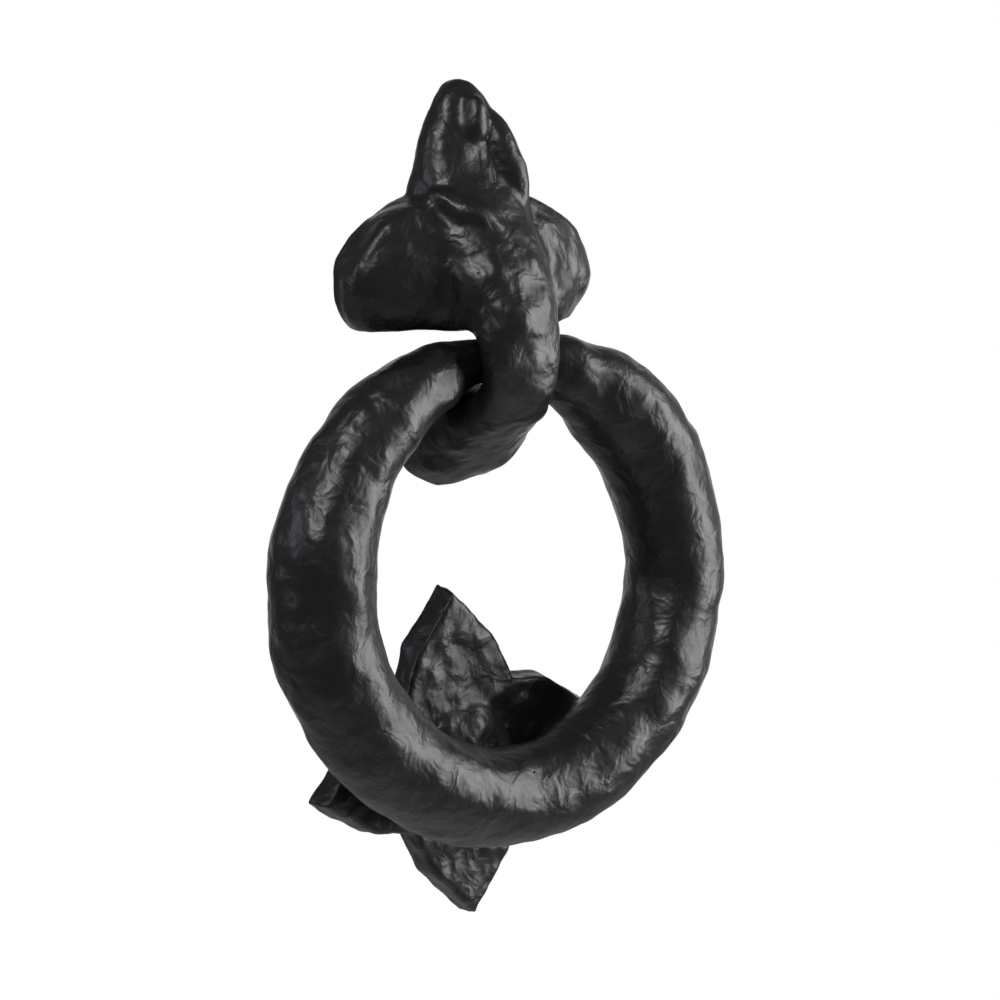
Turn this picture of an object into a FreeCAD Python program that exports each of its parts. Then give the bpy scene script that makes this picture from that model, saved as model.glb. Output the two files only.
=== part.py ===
"""Heavy cast-iron ring door knocker: a leaf-shaped rose with a hook, a thick ring that hangs in it,
and a four-petal striking plate, each plate held to the door by one stud, washer and nut.

Frame: origin on the door's outer face where the upper stud crosses it, +Z up the door, -Y out of the
door towards the caller, +X to the right as the caller sees it. Millimetres.
"""
import FreeCAD, Part
import math
import os

from FreeCAD import Vector

# Door and fixings
DOOR_GRIP = 30.0            # thickness of the door that the studs pass through
STUD_RADIUS = 3.0           # M6 stud, drawn plain
THREAD_CLEARANCE = 0.05     # radial gap left for the thread that is not drawn
STUD_DEPTH = 11.0           # how far a stud screws into the upper casting
STRIKER_STUD_DEPTH = 7.0    # how far a stud screws into the striking plate
STUD_PAST_NUT = 2.5         # thread left showing past a nut
WASHER_RADIUS = 6.0
WASHER_THICKNESS = 1.6
WASHER_BORE_GAP = 0.2       # radial gap between a washer and its stud
NUT_ACROSS_FLATS = 10.0
NUT_HEIGHT = 5.0
NUT_CHAMFER = 0.6

# Rose: side lobes, pointed breast and hook
ROSE_TURN = -1.2            # degrees clockwise that the rose sits on its single stud
LOBE_HALF_SPAN = 35.2
LOBE_TOP = 17.8             # height of the notch between a lobe and the pointed top
LOBE_BOTTOM = 15.2          # how far the lobes' straight lower edge lies below the stud
LOBE_DOME_DEPTH = 19.0      # how far the dome over both lobes stands out at its middle
TIP_HEIGHT = 43.2           # stud to the pointed tip
TIP_DEPTH = 5.0             # how far the tip itself stands out from the door
BREAST_DEPTH = 32.5         # how far the breast stands out at its fullest
BREAST_HALF_WIDTH = 15.0
BREAST_BOTTOM = 15.2        # underside of the breast, below the stud: roof of the hook's eye
ARM_HALF_WIDTH = 10.2       # hook arm in front of the ring
ARM_HALF_THICKNESS = 5.0
SADDLE_HALF_THICKNESS = 7.4  # under the ring, half way back to the door
TAIL_HALF_WIDTH = 16.8      # foot of the hook, against the door
TAIL_HALF_THICKNESS = 13.0
EYE_CLEARANCE = 1.0         # gap between the ring and the saddle that it hangs on
EYE_FRONT_CLEARANCE = 1.9   # gap between the ring and the arm in front of it
EYE_ROOF_CLEARANCE = 1.6    # gap between the ring and the breast above it

# Ring
RING_RADIUS = 52.4          # centre line
RING_NECK_RADIUS = 5.3      # section where the ring runs through the eye
RING_LEFT_SHOULDER = 8.0    # section just outside the eye
RING_RIGHT_SHOULDER = 8.8
RING_LEFT_QUARTER = 10.7    # section half way from the eye to the side
RING_RIGHT_QUARTER = 12.9   # the right quarter is cast fuller than the left
RING_SIDE_RADIUS = 12.9     # section at the sides
RING_FOOT_RADIUS = 12.3     # section at the bottom, where it strikes
RING_PIVOT_DEPTH = 15.2     # door to the middle of the ring in the eye
RING_OFFSET = 2.4           # how far right of the studs the ring hangs on its turned hook
RING_STRIKE_GAP = 0.3       # gap between the ring and the striking boss at rest
# Upper stud down to the ring's middle in the eye
RING_HANG = BREAST_BOTTOM + EYE_ROOF_CLEARANCE + RING_NECK_RADIUS

# Striking plate
STRIKER_TURN = -5.5         # degrees clockwise that the plate sits on its single stud
PETAL_SKEW = 4.5            # degrees that the side petals stand further round than the upright pair
PETAL_LENGTH = 42.3
PETAL_SHOULDER = 28.0       # centre to a petal's shoulders, along the petal
PETAL_HALF_WIDTH = 13.8
NOTCH_DIAGONAL = 23.5       # centre to the notch between two petals
PETAL_THICKNESS = 7.0
PETAL_DRAFT = 0.9           # how much the front of the plate is smaller all round than its back
BOSS_RADIUS = 16.5
BOSS_HEIGHT = 5.0           # how far the boss stands out of the petals' front

# The lower stud stands a little above the middle of the ring's foot, 120 mm below the upper one.
FOOT_BELOW_STUD = 6.9
STRIKER_Z = -(RING_HANG + 2 * RING_RADIUS - FOOT_BELOW_STUD)
BACK_ALLOWANCE = 4.0        # how far the rose is built past the door's face before its back is cut flat


def spot(x, depth, z):
    """A point x to the right, depth out from the door and z up."""
    return Vector(x, -depth, z)


def spline(points, closed=False):
    curve = Part.BSplineCurve()
    curve.interpolate(points, PeriodicFlag=closed)
    return curve.toShape()


def outward_prism(wire, depth):
    """The solid from a flat outline on the door's face out to depth."""
    return Part.Face(wire).extrude(Vector(0, -depth, 0))


def squared(part, fullness=0.8):
    """A cosine or sine pushed outwards, so that an oval drawn with it is squarer at its corners."""
    return math.copysign(abs(part) ** fullness, part)


def half_oval(half_width, depth, z):
    """A section with a rounded front; its sides run straight back past the door's face, where the
    finished casting is cut off."""
    steps = 12
    points = []
    for i in range(steps + 1):
        turn = math.pi * i / steps
        points.append(spot(half_width * squared(math.cos(turn)), depth * squared(abs(math.sin(turn))), z))
    right_back = spot(half_width, -BACK_ALLOWANCE, z)
    left_back = spot(-half_width, -BACK_ALLOWANCE, z)
    return Part.Wire([
        spline(points),
        Part.makeLine(points[-1], left_back),
        Part.makeLine(left_back, right_back),
        Part.makeLine(right_back, points[0]),
    ])


def breast():
    """The pointed upper petal that swells out into the hook's root, from the tip downwards."""
    rise = TIP_HEIGHT - LOBE_TOP
    fall = LOBE_TOP + BREAST_BOTTOM
    sections = [
        half_oval(0.18 * BREAST_HALF_WIDTH, TIP_DEPTH, TIP_HEIGHT),
        half_oval(0.40 * BREAST_HALF_WIDTH, TIP_DEPTH + 1.6, TIP_HEIGHT - 0.14 * rise),
        half_oval(0.62 * BREAST_HALF_WIDTH, 0.30 * BREAST_DEPTH, TIP_HEIGHT - 0.40 * rise),
        half_oval(0.80 * BREAST_HALF_WIDTH, 0.42 * BREAST_DEPTH, TIP_HEIGHT - 0.72 * rise),
        half_oval(0.92 * BREAST_HALF_WIDTH, 0.54 * BREAST_DEPTH, LOBE_TOP),
        half_oval(BREAST_HALF_WIDTH, 0.69 * BREAST_DEPTH, LOBE_TOP - 0.28 * fall),
        half_oval(BREAST_HALF_WIDTH, 0.84 * BREAST_DEPTH, LOBE_TOP - 0.56 * fall),
        half_oval(0.92 * BREAST_HALF_WIDTH, 0.97 * BREAST_DEPTH, LOBE_TOP - 0.82 * fall),
        half_oval(0.80 * BREAST_HALF_WIDTH, BREAST_DEPTH - 0.3, -BREAST_BOTTOM),
    ]
    return Part.makeLoft(sections, True, False)


def lobe_outline():
    """Both side lobes in one outline: a rounded shoulder, a full side and a straight lower edge."""
    span = LOBE_HALF_SPAN
    neck = 0.88 * BREAST_HALF_WIDTH
    right = [
        (neck, LOBE_TOP),
        (0.62 * span, 0.76 * LOBE_TOP),
        (0.82 * span, 0.55 * LOBE_TOP),
        (0.95 * span, 0.26 * LOBE_TOP),
        (span, -0.10 * LOBE_TOP),
        (0.97 * span, -0.48 * LOBE_BOTTOM),
        (0.89 * span, -0.80 * LOBE_BOTTOM),
        (0.81 * span, -LOBE_BOTTOM),
    ]
    right_points = [spot(x, 0, z) for x, z in right]
    left_points = [spot(-x, 0, z) for x, z in reversed(right)]
    return Part.Wire([
        spline(right_points),
        Part.makeLine(right_points[-1], left_points[0]),
        spline(left_points),
        Part.makeLine(left_points[-1], right_points[0]),
    ])


def lobes():
    """The two side lobes: their outline, filled as far as one broad dome."""
    dome = Part.makeSphere(1.0)
    stretch = FreeCAD.Matrix()
    stretch.scale(Vector(1.12 * LOBE_HALF_SPAN, LOBE_DOME_DEPTH, 1.35 * LOBE_TOP))
    dome = dome.transformGeometry(stretch)
    outline = lobe_outline()
    outline.translate(Vector(0, BACK_ALLOWANCE, 0))
    return outward_prism(outline, LOBE_DOME_DEPTH + BACK_ALLOWANCE).common(dome)


def eye_centre():
    """Depth and height of the ring's middle where it hangs in the eye."""
    return RING_PIVOT_DEPTH, -RING_HANG


def arm_path():
    """The hook's centre line from the breast round to the door: depth, z, half width, half thickness."""
    depth, z = eye_centre()
    front_gap = RING_NECK_RADIUS + EYE_FRONT_CLEARANCE
    saddle_gap = RING_NECK_RADIUS + EYE_CLEARANCE
    path = [(depth + 6.5, z + 14.0, ARM_HALF_WIDTH + 2.0, ARM_HALF_THICKNESS + 3.0)]
    for below_level in (-32, 0, 28, 56, 90):
        share = max(below_level, 0) / 90
        half_thickness = ARM_HALF_THICKNESS + (SADDLE_HALF_THICKNESS - ARM_HALF_THICKNESS) * share ** 3
        reach = front_gap + (saddle_gap - front_gap) * share + half_thickness
        path.append((
            depth + reach * math.cos(math.radians(below_level)),
            z - reach * math.sin(math.radians(below_level)),
            ARM_HALF_WIDTH + 0.45 * (TAIL_HALF_WIDTH - ARM_HALF_WIDTH) * share ** 3,
            half_thickness,
        ))
    tail_z = z - saddle_gap - TAIL_HALF_THICKNESS
    path.append((0.35 * depth, tail_z + 0.6, 0.94 * TAIL_HALF_WIDTH, 0.90 * TAIL_HALF_THICKNESS))
    path.append((-BACK_ALLOWANCE, tail_z - 1.4, TAIL_HALF_WIDTH, TAIL_HALF_THICKNESS))
    return path


def arm():
    """The hook: an oval bar swept from the breast, round under the ring and back to the door."""
    path = arm_path()
    sections = []
    for i, (depth, z, half_width, half_thickness) in enumerate(path):
        before = path[max(i - 1, 0)]
        after = path[min(i + 1, len(path) - 1)]
        along = spot(0, after[0] - before[0], after[1] - before[1]).normalize()
        across = Vector(1, 0, 0)
        through = along.cross(across).normalize()
        middle = spot(0, depth, z)
        points = []
        for k in range(12):
            turn = 2 * math.pi * k / 12
            points.append(middle + across * (half_width * squared(math.cos(turn)))
                          + through * (half_thickness * squared(math.sin(turn))))
        sections.append(Part.Wire(spline(points, closed=True)))
    return Part.makeLoft(sections, True, False)


def stud_hole(z, depth):
    radius = STUD_RADIUS + THREAD_CLEARANCE
    return Part.makeCylinder(radius, depth, Vector(0, 0, z), Vector(0, -1, 0))


def turned(shape, z, degrees):
    """The shape turned clockwise, as the caller sees it, about the stud at height z."""
    shape = shape.copy()
    shape.rotate(Vector(0, 0, z), Vector(0, 1, 0), degrees)
    return shape


def rose():
    """The upper casting in one piece, its back cut flat and tapped for the upper stud."""
    casting = breast().fuse([lobes(), arm()])
    in_front_of_door = Part.makeBox(200, 100, 300, Vector(-100, -100, -200))
    casting = casting.common(in_front_of_door)
    casting = turned(casting, 0, ROSE_TURN)
    return casting.cut(stud_hole(0, STUD_DEPTH))


def boss_sphere():
    """Radius of the boss's rounded front and depth of that sphere's middle."""
    radius = (BOSS_RADIUS ** 2 + BOSS_HEIGHT ** 2) / (2 * BOSS_HEIGHT)
    return radius, PETAL_THICKNESS + BOSS_HEIGHT - radius


def ring_pitch():
    """Angle that the ring's foot stands out from plumb when it rests on the striking boss, in radians."""
    depth, z = eye_centre()
    radius, middle = boss_sphere()
    reach = radius + RING_FOOT_RADIUS + RING_STRIKE_GAP
    across, down = middle - depth, z - STRIKER_Z
    apart = math.hypot(across, down)
    chord = 2 * RING_RADIUS
    spread = math.acos((apart ** 2 + chord ** 2 - reach ** 2) / (2 * apart * chord))
    return math.atan2(across, down) + spread


def ring_section(turn):
    """Radius of the ring's section at an angle from its top, in radians."""
    on_the_right = math.sin(turn) > 0
    shoulder = RING_RIGHT_SHOULDER if on_the_right else RING_LEFT_SHOULDER
    quarter = RING_RIGHT_QUARTER if on_the_right else RING_LEFT_QUARTER
    stations = [(0, RING_NECK_RADIUS), (11, RING_NECK_RADIUS + 0.25), (20, shoulder),
                (45, quarter), (90, RING_SIDE_RADIUS), (180, RING_FOOT_RADIUS)]
    angle = abs(math.degrees(math.atan2(math.sin(turn), math.cos(turn))))
    for (a0, r0), (a1, r1) in zip(stations, stations[1:]):
        if angle <= a1:
            share = (angle - a0) / (a1 - a0)
            return r0 + (r1 - r0) * share * share * (3 - 2 * share)
    return RING_FOOT_RADIUS


def ring():
    """A closed ring, thin in the eye and full at the sides and foot, leaning out on to the boss."""
    sections = []
    angles = [0, 10, 20, 32, 45, 65, 90, 120, 150, 180]
    angles += [360 - a for a in reversed(angles[1:-1])]
    for angle in angles:
        turn = math.radians(angle)
        radial = Vector(math.sin(turn), 0, math.cos(turn))
        middle = radial * RING_RADIUS + Vector(0, 0, -RING_RADIUS)
        normal = Vector(math.cos(turn), 0, -math.sin(turn))
        sections.append(Part.Wire(Part.Circle(middle, normal, ring_section(turn)).toShape()))
    shape = Part.makeLoft(sections, True, False, True)
    depth, z = eye_centre()
    shape.rotate(Vector(0, 0, 0), Vector(1, 0, 0), -math.degrees(ring_pitch()))
    shape.translate(spot(RING_OFFSET, depth, z))
    return shape


def petal_outline(inset, depth):
    """Four pointed petals round the lower stud, drawn smaller by inset, at a depth."""
    tip = PETAL_LENGTH - 1.3 * inset
    shoulder = PETAL_SHOULDER - 0.3 * inset
    half_width = PETAL_HALF_WIDTH - inset
    notch = NOTCH_DIAGONAL - inset
    petal_turns = [0, 90 - PETAL_SKEW, 180, 270 - PETAL_SKEW, 360]
    corners = []
    for here, after in zip(petal_turns, petal_turns[1:]):
        middle = (here + after) / 2 - here
        notch_point = (notch * math.sin(math.radians(middle)), notch * math.cos(math.radians(middle)))
        turn = math.radians(here)
        for x, z in [(-half_width, shoulder), (0, tip), (half_width, shoulder), notch_point]:
            corners.append(spot(x * math.cos(turn) + z * math.sin(turn), depth,
                                STRIKER_Z - x * math.sin(turn) + z * math.cos(turn)))
    return Part.makePolygon(corners + corners[:1])


def striker():
    """The striking plate: four petals with drafted walls and a round boss that the ring meets."""
    petals = Part.makeLoft([petal_outline(0, 0), petal_outline(PETAL_DRAFT, PETAL_THICKNESS)], True, True)
    radius, middle = boss_sphere()
    ball = Part.makeSphere(radius, spot(0, middle, STRIKER_Z))
    slug = Part.makeCylinder(BOSS_RADIUS + 1, BOSS_HEIGHT + 3, spot(0, PETAL_THICKNESS - 1, STRIKER_Z),
                             Vector(0, -1, 0))
    plate = petals.fuse(ball.common(slug)).removeSplitter()
    plate = turned(plate, STRIKER_Z, STRIKER_TURN)
    return plate.cut(stud_hole(STRIKER_Z, STRIKER_STUD_DEPTH))


def stud(z, depth):
    length = depth + DOOR_GRIP + WASHER_THICKNESS + NUT_HEIGHT + STUD_PAST_NUT
    return Part.makeCylinder(STUD_RADIUS, length, spot(0, depth, z), Vector(0, 1, 0))


def washer(z):
    start = Vector(0, DOOR_GRIP, z)
    disc = Part.makeCylinder(WASHER_RADIUS, WASHER_THICKNESS, start, Vector(0, 1, 0))
    bore = Part.makeCylinder(STUD_RADIUS + WASHER_BORE_GAP, WASHER_THICKNESS, start, Vector(0, 1, 0))
    return disc.cut(bore)


def nut(z):
    """A plain hexagon nut, its corners turned down by a cone at the free end."""
    seat = DOOR_GRIP + WASHER_THICKNESS
    corner = NUT_ACROSS_FLATS / math.sqrt(3)
    points = []
    for k in range(6):
        turn = math.radians(60 * k)
        points.append(Vector(corner * math.cos(turn), seat, z + corner * math.sin(turn)))
    block = Part.Face(Part.makePolygon(points + points[:1])).extrude(Vector(0, NUT_HEIGHT, 0))
    start = Vector(0, seat, z)
    body = Part.makeCylinder(corner, NUT_HEIGHT - NUT_CHAMFER, start, Vector(0, 1, 0))
    crown = Part.makeCone(corner, corner - NUT_CHAMFER, NUT_CHAMFER,
                          Vector(0, seat + NUT_HEIGHT - NUT_CHAMFER, z), Vector(0, 1, 0))
    turned_block = block.common(body.fuse(crown))
    bore = Part.makeCylinder(STUD_RADIUS + THREAD_CLEARANCE, NUT_HEIGHT, start, Vector(0, 1, 0))
    return turned_block.cut(bore)


def main():
    nodes = {
        "rose_with_hook": rose(),
        "knocker_ring": ring(),
        "striking_plate": striker(),
        "upper_stud": stud(0, STUD_DEPTH),
        "upper_washer": washer(0),
        "upper_nut": nut(0),
        "lower_stud": stud(STRIKER_Z, STRIKER_STUD_DEPTH),
        "lower_washer": washer(STRIKER_Z),
        "lower_nut": nut(STRIKER_Z),
    }
    os.makedirs("parts", exist_ok=True)
    for name, shape in nodes.items():
        shape.exportStep("parts/" + name + ".step")


main()
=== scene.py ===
"""Looks for a hand-hammered cast-iron ring door knocker, painted satin black.

Metres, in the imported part's own frame: origin on the door's face at the upper stud, +Z up the door,
-Y out of the door. "Depth" below means distance out from the door.
"""

import math

import bpy
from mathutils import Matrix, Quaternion, Vector


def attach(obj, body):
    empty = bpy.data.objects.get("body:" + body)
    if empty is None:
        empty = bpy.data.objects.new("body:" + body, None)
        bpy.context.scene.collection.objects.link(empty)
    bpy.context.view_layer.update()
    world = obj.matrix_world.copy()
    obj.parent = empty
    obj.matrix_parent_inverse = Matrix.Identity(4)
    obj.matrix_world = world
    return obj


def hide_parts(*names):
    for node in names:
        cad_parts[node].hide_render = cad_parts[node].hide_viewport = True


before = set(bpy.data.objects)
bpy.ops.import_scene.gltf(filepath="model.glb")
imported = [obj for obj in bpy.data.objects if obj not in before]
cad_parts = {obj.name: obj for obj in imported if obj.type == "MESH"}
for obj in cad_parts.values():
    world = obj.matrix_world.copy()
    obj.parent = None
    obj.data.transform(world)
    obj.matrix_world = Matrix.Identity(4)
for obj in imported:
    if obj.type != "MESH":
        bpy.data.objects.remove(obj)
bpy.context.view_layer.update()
MM = 0.001

# ---------------------------------------------------------------- rose with hook
# The upper casting: a pointed petal that swells into a hook like a trunk, with two flat-bottomed
# lobes. Sand-cast iron from a hammered pattern, ground flat at the back, brushed with satin black.
ROSE_TURN = math.radians(-1.2)
EYE_DEPTH = 15.2 * MM
EYE_Z = -22.1 * MM
EYE_FRONT_RADIUS = 6.8 * MM
EYE_SADDLE_RADIUS = 6.2 * MM
LOBE_HALF_SPAN = 35.0 * MM
LOBE_HALF_HEIGHT = 21.5 * MM
LOBE_MIDDLE_Z = -4.0 * MM
LOBE_DEPTH = 18.6 * MM
LOBE_FLAT_Z = -15.0 * MM


def begin_editing(obj):
    bpy.ops.object.select_all(action="DESELECT")
    obj.select_set(True)
    bpy.context.view_layer.objects.active = obj
    bpy.ops.object.mode_set(mode="EDIT")
    bpy.ops.mesh.select_all(action="SELECT")


def end_editing():
    bpy.ops.object.mode_set(mode="OBJECT")


def new_primitive(add, name, **settings):
    """Adds a primitive with nothing else selected, names it and gives it back."""
    bpy.ops.object.select_all(action="DESELECT")
    add(**settings)
    obj = bpy.context.active_object
    obj.name = name
    obj.data.name = name
    return obj


def settle(obj):
    """Puts the object's place, turn and scale into its mesh."""
    bpy.ops.object.select_all(action="DESELECT")
    obj.select_set(True)
    bpy.context.view_layer.objects.active = obj
    bpy.ops.object.transform_apply(location=True, rotation=True, scale=True)


def apply_modifier(obj, kind, **settings):
    """Adds a modifier, sets it and applies it."""
    bpy.context.view_layer.objects.active = obj
    modifier = obj.modifiers.new(kind.title(), kind)
    for key, value in settings.items():
        setattr(modifier, key, value)
    bpy.ops.object.modifier_apply(modifier=modifier.name)


def at(x, depth, z):
    return Vector((x, -depth, z))


def extruded_bar(name, stations):
    """A bar with well-rounded corners, extruded from station to station. A station is its middle's
    depth and z, its half width, its half thickness and its tilt from level; sections lie across X."""
    depth, z, half_width, half_thickness, tilt = stations[0]
    bar = new_primitive(bpy.ops.mesh.primitive_plane_add, name, size=2.0, location=at(0, depth, z),
                        rotation=(tilt, 0, 0))
    begin_editing(bar)
    bpy.ops.mesh.bevel(offset=0.8, segments=7, affect="VERTICES")
    end_editing()
    bar.scale = (half_width, half_thickness, half_thickness)
    settle(bar)
    begin_editing(bar)
    for next_depth, next_z, next_width, next_thickness, next_tilt in stations[1:]:
        middle = at(0, next_depth, next_z)
        bpy.ops.mesh.extrude_region_move(
            TRANSFORM_OT_translate={"value": middle - at(0, depth, z)})
        bpy.ops.transform.rotate(value=tilt - next_tilt, orient_axis="X", center_override=middle)
        thicker = next_thickness / half_thickness
        bpy.ops.transform.resize(value=(next_width / half_width, thicker, thicker),
                                 center_override=middle)
        depth, z, half_width, half_thickness, tilt = (
            next_depth, next_z, next_width, next_thickness, next_tilt)
    bpy.ops.mesh.select_all(action="SELECT")
    bpy.ops.mesh.normals_make_consistent(inside=False)
    end_editing()
    return bar


def join(objects, name):
    bpy.ops.object.select_all(action="DESELECT")
    for obj in objects:
        obj.select_set(True)
    bpy.context.view_layer.objects.active = objects[0]
    bpy.ops.object.join()
    objects[0].name = name
    return objects[0]


def trim(obj, point, outwards):
    """Cuts off what lies beyond a plane through point and closes the cut flat."""
    begin_editing(obj)
    bpy.ops.mesh.bisect(plane_co=point, plane_no=outwards, use_fill=True,
                        clear_outer=True, clear_inner=False, threshold=0.00001)
    end_editing()


def hammer(obj, dent, dent_size, ripple, ripple_size):
    """Sinks broad hammer dents and a finer casting ripple into a skin."""
    dents = bpy.data.textures.new(obj.name + " dents", "CLOUDS")
    dents.noise_scale = dent_size
    dents.noise_depth = 1
    apply_modifier(obj, "DISPLACE", texture=dents, strength=dent, mid_level=0.55)
    ripples = bpy.data.textures.new(obj.name + " ripples", "CLOUDS")
    ripples.noise_scale = ripple_size
    ripples.noise_depth = 2
    apply_modifier(obj, "DISPLACE", texture=ripples, strength=ripple, mid_level=0.52)


def smooth_shade(obj):
    bpy.ops.object.select_all(action="DESELECT")
    obj.select_set(True)
    bpy.context.view_layer.objects.active = obj
    bpy.ops.object.shade_smooth_by_angle(angle=math.radians(40))


def linear(hex_colour):
    """An sRGB hex colour as the linear values that shaders take."""
    channels = [int(hex_colour[i:i + 2], 16) / 255 for i in (1, 3, 5)]
    return tuple(c / 12.92 if c <= 0.04045 else ((c + 0.055) / 1.055) ** 2.4 for c in channels) + (1.0,)


def add_node(tree, kind, inputs=None, **settings):
    """Adds a shader node with its settings; inputs are constants or other nodes' output sockets."""
    node = tree.nodes.new(kind)
    for key, value in settings.items():
        setattr(node, key, value)
    for key, value in (inputs or {}).items():
        if isinstance(value, bpy.types.NodeSocket):
            tree.links.new(value, node.inputs[key])
        else:
            node.inputs[key].default_value = value
    return node


def ramp(tree, factor, stops):
    """A colour ramp; stops are (position, colour)."""
    node = add_node(tree, "ShaderNodeValToRGB", {"Fac": factor})
    elements = node.color_ramp.elements
    while len(elements) < len(stops):
        elements.new(0.5)
    for element, (position, colour) in zip(elements, stops):
        element.position = position
        element.color = colour
    return node.outputs["Color"]


def new_material(name):
    material = bpy.data.materials.new(name)
    material.use_nodes = True
    tree = material.node_tree
    return material, tree, tree.nodes["Principled BSDF"]


def satin_black_paint(name):
    """Satin black enamel, brushed over rough cast iron: chisel dents, the casting's grain and a few
    pinholes show through, and the paint lies glossier on the high spots."""
    material, tree, shader = new_material(name)
    place = add_node(tree, "ShaderNodeTexCoord").outputs["Object"]
    dents = add_node(tree, "ShaderNodeTexNoise", {"Vector": place, "Scale": 190.0, "Detail": 2.0,
                                                  "Roughness": 0.5, "Distortion": 0.6})
    colour = ramp(tree, dents.outputs["Fac"], [(0.35, linear("#0b0b0c")), (0.65, linear("#151517"))])
    tree.links.new(colour, shader.inputs["Base Color"])
    sheen = add_node(tree, "ShaderNodeMapRange",
                     {"Value": dents.outputs["Fac"], "From Min": 0.35, "From Max": 0.65,
                      "To Min": 0.42, "To Max": 0.33})
    tree.links.new(sheen.outputs["Result"], shader.inputs["Roughness"])
    shader.inputs["IOR"].default_value = 1.5
    dent_bump = add_node(tree, "ShaderNodeBump", {"Height": dents.outputs["Fac"], "Strength": 0.42,
                                                  "Distance": 0.0014})
    grain = add_node(tree, "ShaderNodeTexNoise", {"Vector": place, "Scale": 900.0, "Detail": 3.0})
    grain_bump = add_node(tree, "ShaderNodeBump", {"Height": grain.outputs["Fac"], "Strength": 0.2,
                                                   "Distance": 0.0003,
                                                   "Normal": dent_bump.outputs["Normal"]})
    pinholes = add_node(tree, "ShaderNodeTexVoronoi", {"Vector": place, "Scale": 130.0})
    pinhole_depth = add_node(tree, "ShaderNodeMapRange",
                             {"Value": pinholes.outputs["Distance"], "From Min": 0.01, "From Max": 0.07})
    pinhole_bump = add_node(tree, "ShaderNodeBump", {"Height": pinhole_depth.outputs["Result"],
                                                     "Strength": 0.5, "Distance": 0.0002,
                                                     "Normal": grain_bump.outputs["Normal"]})
    tree.links.new(pinhole_bump.outputs["Normal"], shader.inputs["Normal"])
    return material


BREAST_MIDDLE = 0.30  # where a section's middle lies between the door and its front
BREAST_STATIONS = [
    # half width, depth of the front and z in mm, from the tip down
    (0.8, 2.4, 43.6),
    (3.4, 5.0, 42.4),
    (6.4, 6.6, 39.6),
    (9.4, 8.4, 33.2),
    (12.0, 10.8, 25.0),
    (13.8, 15.2, 17.8),
    (14.6, 21.6, 8.6),
    (15.0, 27.2, -0.6),
    (13.8, 31.4, -9.2),
    (12.0, 32.1, -15.0),
]
breast_sections = []
for half_width, front, z in BREAST_STATIONS:
    middle = BREAST_MIDDLE * front
    breast_sections.append((middle * MM, z * MM, half_width * MM, (front - middle) * MM, 0.0))
breast = extruded_bar("breast", breast_sections)

ARM_STATIONS = [
    # degrees below level round the eye, half width and half thickness in mm
    (-58, 11.6, 7.6),
    (-30, 10.8, 5.8),
    (0, 10.1, 4.9),
    (28, 9.9, 4.9),
    (56, 10.3, 5.5),
    (90, 12.5, 7.4),
]
arm_sections = []
for below_level, half_width, half_thickness in ARM_STATIONS:
    turn = math.radians(below_level)
    share = max(below_level, 0) / 90
    reach = EYE_FRONT_RADIUS + (EYE_SADDLE_RADIUS - EYE_FRONT_RADIUS) * share + half_thickness * MM
    arm_sections.append((EYE_DEPTH + reach * math.cos(turn), EYE_Z - reach * math.sin(turn),
                         half_width * MM, half_thickness * MM, turn))
TAIL_STATIONS = [
    # depth, half width, half thickness and drop in mm; the last lies past the door, to be cut off
    (5.3, 16.2, 11.6, 0.0),
    (-4.5, 17.3, 12.8, 1.4),
]
for tail_depth, half_width, half_thickness, drop in TAIL_STATIONS:
    tail_z = EYE_Z - EYE_SADDLE_RADIUS - (half_thickness + drop) * MM
    arm_sections.append((tail_depth * MM, tail_z, half_width * MM, half_thickness * MM, math.radians(90)))
arm = extruded_bar("arm", arm_sections)

FOLDS = [
    # name, middle (x, depth, z) and half length, width and depth in mm, then the degrees that it leans
    # back to the door, leans right and swings its left end back to the door
    ("tip bead", (0.3, 8.0, 34.0), (6.0, 3.6, 3.4), (12, 4, 0)),
    ("right fold", (7.6, 9.8, 25.0), (13.5, 4.2, 4.0), (20, -14, 0)),
    ("left fold", (-7.5, 15.2, 12.3), (10.5, 4.2, 4.4), (0, -62, 40)),
]
folds = []
for fold_name, (x, depth, z), (half_length, half_width, half_depth), leans in FOLDS:
    lean_back, lean_right, swing_back = [math.radians(degrees) for degrees in leans]
    fold = new_primitive(bpy.ops.mesh.primitive_uv_sphere_add, fold_name, segments=32, ring_count=16,
                         radius=MM, location=at(x * MM, depth * MM, z * MM),
                         rotation=(-lean_back, lean_right, -swing_back))
    fold.scale = (half_width, half_depth, half_length)
    settle(fold)
    folds.append(fold)

lobes = new_primitive(bpy.ops.mesh.primitive_uv_sphere_add, "lobes", segments=64, ring_count=32, radius=1.0,
                      location=(0, 0, 0.5 * LOBE_MIDDLE_Z))
lobes.scale = (1.13 * LOBE_HALF_SPAN, LOBE_DEPTH, 1.15 * LOBE_HALF_HEIGHT)
settle(lobes)
lobe_outline = new_primitive(bpy.ops.mesh.primitive_cylinder_add, "lobe outline", vertices=64, radius=1.0,
                             depth=2.0, location=(0, 0, LOBE_MIDDLE_Z), rotation=(math.pi / 2, 0, 0))
lobe_outline.scale = (LOBE_HALF_SPAN, LOBE_HALF_HEIGHT, 30 * MM)
settle(lobe_outline)
apply_modifier(lobes, "BOOLEAN", operation="INTERSECT", object=lobe_outline, solver="EXACT")
bpy.data.objects.remove(lobe_outline)
trim(lobes, (0, 0, LOBE_FLAT_Z), (0, 0, -1))

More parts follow.
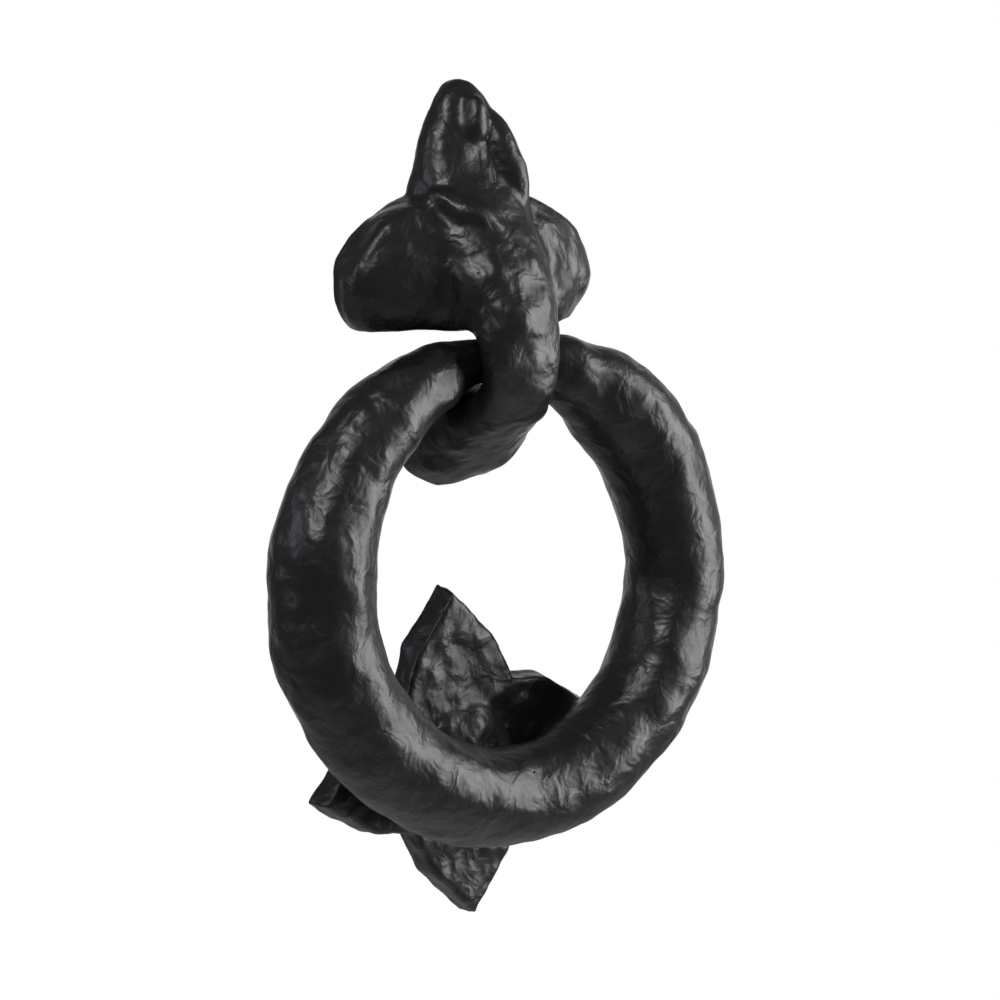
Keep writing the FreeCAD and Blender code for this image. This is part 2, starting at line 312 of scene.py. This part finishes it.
rose = join([breast, arm, lobes] + folds, "rose_with_leaf_lobes")
apply_modifier(rose, "REMESH", mode="VOXEL", voxel_size=0.7 * MM)
apply_modifier(rose, "SMOOTH", factor=0.5, iterations=10)
hammer(rose, dent=2.0 * MM, dent_size=11 * MM, ripple=0.5 * MM, ripple_size=4.2 * MM)
apply_modifier(rose, "SMOOTH", factor=0.5, iterations=2)
trim(rose, (0, 0, 0), (0, 1, 0))
begin_editing(rose)
bpy.ops.transform.rotate(value=-ROSE_TURN, orient_axis="Y", center_override=(0, 0, 0))
end_editing()
smooth_shade(rose)
paint = satin_black_paint("satin black enamel over cast iron")
rose.data.materials.append(paint)
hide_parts("rose_with_hook")
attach(rose, "fixed_castings")

# ---------------------------------------------------------------- knocker ring
# A closed ring, thick at the sides and foot and thin where it runs through the hook's eye. Cast in
# one piece and hung in the open hook before the hook's foot closes against the door.
RING_RADIUS = 52.4 * MM
RING_PITCH = math.radians(4.87)
RING_OFFSET = 2.4 * MM
RING_STEPS = 72
# Degrees round from the crown and the section's radius in mm
RING_LEFT = [(0, 5.2), (11, 5.4), (20, 8.0), (45, 10.6), (90, 12.8), (180, 12.1)]
RING_RIGHT = [(0, 5.2), (11, 5.4), (20, 8.8), (45, 12.9), (90, 12.8), (180, 12.1)]


def ring_radius_at(degrees):
    """The ring's section radius at an angle from its crown, clockwise as the caller sees it."""
    angle = min(degrees, 360 - degrees)
    stations = RING_RIGHT if degrees < 180 else RING_LEFT
    for (a0, r0), (a1, r1) in zip(stations, stations[1:]):
        if angle <= a1:
            share = (angle - a0) / (a1 - a0)
            return (r0 + (r1 - r0) * share * share * (3 - 2 * share)) * MM
    return stations[-1][1] * MM


ring = new_primitive(bpy.ops.mesh.primitive_circle_add, "hammered_ring", vertices=40,
                     radius=ring_radius_at(0), location=(0, 0, RING_RADIUS), rotation=(0, math.pi / 2, 0))
settle(ring)
begin_editing(ring)
step = 360 / RING_STEPS
for i in range(RING_STEPS):
    angle = math.radians(step * (i + 1))
    middle = Vector((RING_RADIUS * math.sin(angle), 0, RING_RADIUS * math.cos(angle)))
    growth = ring_radius_at(step * (i + 1)) / ring_radius_at(step * i)
    bpy.ops.mesh.extrude_edges_move()
    bpy.ops.transform.rotate(value=-math.radians(step), orient_axis="Y", center_override=(0, 0, 0))
    bpy.ops.transform.resize(value=(growth, growth, growth), center_override=middle)
bpy.ops.mesh.select_all(action="SELECT")
bpy.ops.mesh.remove_doubles(threshold=0.00005)
bpy.ops.mesh.normals_make_consistent(inside=False)
end_editing()
apply_modifier(ring, "REMESH", mode="VOXEL", voxel_size=0.8 * MM)
apply_modifier(ring, "SMOOTH", factor=0.5, iterations=6)
hammer(ring, dent=2.2 * MM, dent_size=14 * MM, ripple=0.45 * MM, ripple_size=4.6 * MM)
apply_modifier(ring, "SMOOTH", factor=0.5, iterations=2)
begin_editing(ring)
bpy.ops.transform.translate(value=(0, 0, -RING_RADIUS))
bpy.ops.transform.rotate(value=RING_PITCH, orient_axis="X", center_override=(0, 0, 0))
bpy.ops.transform.translate(value=at(RING_OFFSET, EYE_DEPTH, EYE_Z))
end_editing()
smooth_shade(ring)
ring.data.materials.append(paint)
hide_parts("knocker_ring")
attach(ring, "ring")

# ---------------------------------------------------------------- striking plate
# Four pointed petals with drafted walls round a low boss that takes the ring's blow. Cast in one
# piece from a pattern that was dented all over by a hammer.
STRIKER_Z = -120.0 * MM
STRIKER_TURN = math.radians(-5.5)
PETAL_SKEW = math.radians(4.5)
PETAL_TIP = 42.8 * MM
PETAL_SHOULDER_REACH = 31.6 * MM
PETAL_NOTCH_REACH = 24.0 * MM
PETAL_THICKNESS = 7.0 * MM
PETAL_DRAFT = 0.955
BOSS_HALF_WIDTH = 16.5 * MM
BOSS_DEPTH = 11.9 * MM
BACK_ALLOWANCE = 3.0 * MM  # the plate is built this far past the door and then cut flat

striker = new_primitive(bpy.ops.mesh.primitive_circle_add, "petalled_striker", vertices=16, radius=1.0,
                        fill_type="NGON", rotation=(math.pi / 2, 0, 0))
settle(striker)
reaches = [PETAL_TIP, PETAL_SHOULDER_REACH, PETAL_NOTCH_REACH, PETAL_SHOULDER_REACH] * 4
side_petal_skew = Quaternion((0, 1, 0), -PETAL_SKEW)
for i, (vertex, reach) in enumerate(zip(striker.data.vertices, reaches)):
    direction = vertex.co.normalized()
    on_side_petal = i % 8 in (3, 4, 5)
    if on_side_petal:
        direction = side_petal_skew @ direction
    vertex.co = direction * reach + at(0, -BACK_ALLOWANCE, 0)
begin_editing(striker)
bpy.ops.mesh.normals_make_consistent(inside=False)
bpy.ops.mesh.extrude_region_move(
    TRANSFORM_OT_translate={"value": at(0, PETAL_THICKNESS + BACK_ALLOWANCE, 0)})
bpy.ops.transform.resize(value=(PETAL_DRAFT, 1, PETAL_DRAFT), center_override=(0, 0, 0))
bpy.ops.mesh.select_all(action="SELECT")
bpy.ops.mesh.normals_make_consistent(inside=False)
end_editing()
boss = new_primitive(bpy.ops.mesh.primitive_uv_sphere_add, "boss", segments=48, ring_count=24, radius=1.0)
boss.scale = (BOSS_HALF_WIDTH, BOSS_DEPTH, BOSS_HALF_WIDTH)
settle(boss)
striker = join([striker, boss], "petalled_striker")
apply_modifier(striker, "REMESH", mode="VOXEL", voxel_size=0.6 * MM)
apply_modifier(striker, "SMOOTH", factor=0.5, iterations=6)
hammer(striker, dent=1.3 * MM, dent_size=7 * MM, ripple=0.3 * MM, ripple_size=3.4 * MM)
apply_modifier(striker, "SMOOTH", factor=0.5, iterations=3)
trim(striker, (0, 0, 0), (0, 1, 0))
begin_editing(striker)
bpy.ops.transform.rotate(value=-STRIKER_TURN, orient_axis="Y", center_override=(0, 0, 0))
bpy.ops.transform.translate(value=(0, 0, STRIKER_Z))
end_editing()
smooth_shade(striker)
striker.data.materials.append(paint)
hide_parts("striking_plate")
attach(striker, "fixed_castings")

# ---------------------------------------------------------------- studs, washers and nuts
# M6 steel studs screwed into the castings' backs, each with a plain washer and a hexagon nut inside
# the door. Bright zinc plate, slightly cloudy, with the thread cut along the studs.
THREAD_PITCH = 1.0 * MM
WAVE_PERIOD = 0.314  # length of one wave of a wave texture whose scale is 1


def zinc_plate(name, threaded):
    material, tree, shader = new_material(name)
    place = add_node(tree, "ShaderNodeTexCoord").outputs["Object"]
    cloud = add_node(tree, "ShaderNodeTexNoise", {"Vector": place, "Scale": 180.0, "Detail": 3.0})
    colour = ramp(tree, cloud.outputs["Fac"], [(0.3, linear("#a9adb2")), (0.7, linear("#c6c9cc"))])
    tree.links.new(colour, shader.inputs["Base Color"])
    shader.inputs["Metallic"].default_value = 1.0
    sheen = add_node(tree, "ShaderNodeMapRange",
                     {"Value": cloud.outputs["Fac"], "To Min": 0.22, "To Max": 0.40})
    tree.links.new(sheen.outputs["Result"], shader.inputs["Roughness"])
    if threaded:
        turns = add_node(tree, "ShaderNodeTexWave",
                         {"Vector": place, "Scale": WAVE_PERIOD / THREAD_PITCH},
                         wave_type="BANDS", bands_direction="Y", wave_profile="TRI")
        bump = add_node(tree, "ShaderNodeBump", {"Height": turns.outputs["Fac"], "Strength": 1.0,
                                                 "Distance": 0.0006})
    else:
        bump = add_node(tree, "ShaderNodeBump", {"Height": cloud.outputs["Fac"], "Strength": 0.2,
                                                 "Distance": 0.0002})
    tree.links.new(bump.outputs["Normal"], shader.inputs["Normal"])
    return material


threaded_zinc = zinc_plate("zinc-plated threaded steel", True)
plain_zinc = zinc_plate("zinc-plated steel", False)
for node_name in ("upper_stud", "lower_stud", "upper_washer", "lower_washer", "upper_nut", "lower_nut"):
    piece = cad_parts[node_name]
    piece.data.materials.clear()
    piece.data.materials.append(threaded_zinc if node_name.endswith("stud") else plain_zinc)

# ---------------------------------------------------------------- studio
# A pale floor far below the hung knocker, a white screen behind it, a grey room all round and one
# tall softbox on the right, which draws the long bright stripe down the ring.
TARGET = Vector((-0.2 * MM, -19.8 * MM, -55.2 * MM))
AZIMUTH = math.radians(-37)
ELEVATION = math.radians(8.5)
DISTANCE = 0.565
ROLL = math.radians(0.8)

towards_camera = Vector((math.sin(AZIMUTH) * math.cos(ELEVATION),
                         -math.cos(AZIMUTH) * math.cos(ELEVATION),
                         math.sin(ELEVATION)))
rightwards = Vector((math.cos(AZIMUTH), math.sin(AZIMUTH), 0))


def aim(obj, point):
    obj.rotation_mode = "QUATERNION"
    obj.rotation_quaternion = (point - obj.location).to_track_quat("-Z", "Y")


floor = new_primitive(bpy.ops.mesh.primitive_circle_add, "studio_floor", vertices=96, radius=2.0,
                      fill_type="NGON", location=(0, 0, -0.95))
settle(floor)
floor_paint, floor_tree, floor_shader = new_material("matt white floor paint")
floor_place = add_node(floor_tree, "ShaderNodeTexCoord").outputs["Object"]
floor_cloud = add_node(floor_tree, "ShaderNodeTexNoise", {"Vector": floor_place, "Scale": 3.0})
floor_colour = ramp(floor_tree, floor_cloud.outputs["Fac"],
                    [(0.3, linear("#f1f1f1")), (0.7, linear("#f6f6f6"))])
floor_tree.links.new(floor_colour, floor_shader.inputs["Base Color"])
floor_shader.inputs["Roughness"].default_value = 0.9
floor.data.materials.append(floor_paint)


def softbox(name, place, width, height, power, colour):
    light = bpy.data.lights.new(name, "AREA")
    light.shape = "RECTANGLE"
    light.size = width
    light.size_y = height
    light.energy = power
    light.color = linear(colour)[:3]
    lamp = bpy.data.objects.new(name, light)
    bpy.context.scene.collection.objects.link(lamp)
    lamp.location = place
    aim(lamp, TARGET)
    return lamp


softbox("right softbox", TARGET + rightwards * 0.9 - towards_camera * 0.02 + Vector((0, 0, 0.15)),
        0.6, 0.9, 11.5, "#ffffff")
softbox("upper left softbox", TARGET - rightwards * 0.25 + towards_camera * 0.75 + Vector((0, 0, 0.75)),
        0.35, 0.35, 5.5, "#ffffff")
softbox("left fill", TARGET - rightwards * 0.9 + towards_camera * 0.3 + Vector((0, 0, 0.3)),
        0.5, 0.5, 1.5, "#eef2ff")

world = bpy.data.worlds.new("studio surround")
bpy.context.scene.world = world
world.use_nodes = True
sky = world.node_tree
direction = add_node(sky, "ShaderNodeTexCoord").outputs["Generated"]
facing = add_node(sky, "ShaderNodeVectorMath", {0: direction, 1: tuple(-towards_camera)},
                  operation="DOT_PRODUCT")
surround = ramp(sky, facing.outputs["Value"], [(0.70, linear("#6a6a6c")), (0.93, (1.0, 1.0, 1.0, 1.0))])
sky.links.new(surround, sky.nodes["Background"].inputs["Color"])

bpy.context.scene.view_settings.view_transform = "Standard"

camera_data = bpy.data.cameras.new("camera")
camera_data.lens = 86
camera_data.sensor_width = 36
camera = bpy.data.objects.new("camera", camera_data)
bpy.context.scene.collection.objects.link(camera)
camera.location = TARGET + towards_camera * DISTANCE
aim(camera, TARGET)
camera.rotation_quaternion = camera.rotation_quaternion @ Quaternion((0, 0, 1), ROLL)
bpy.context.scene.camera = camera
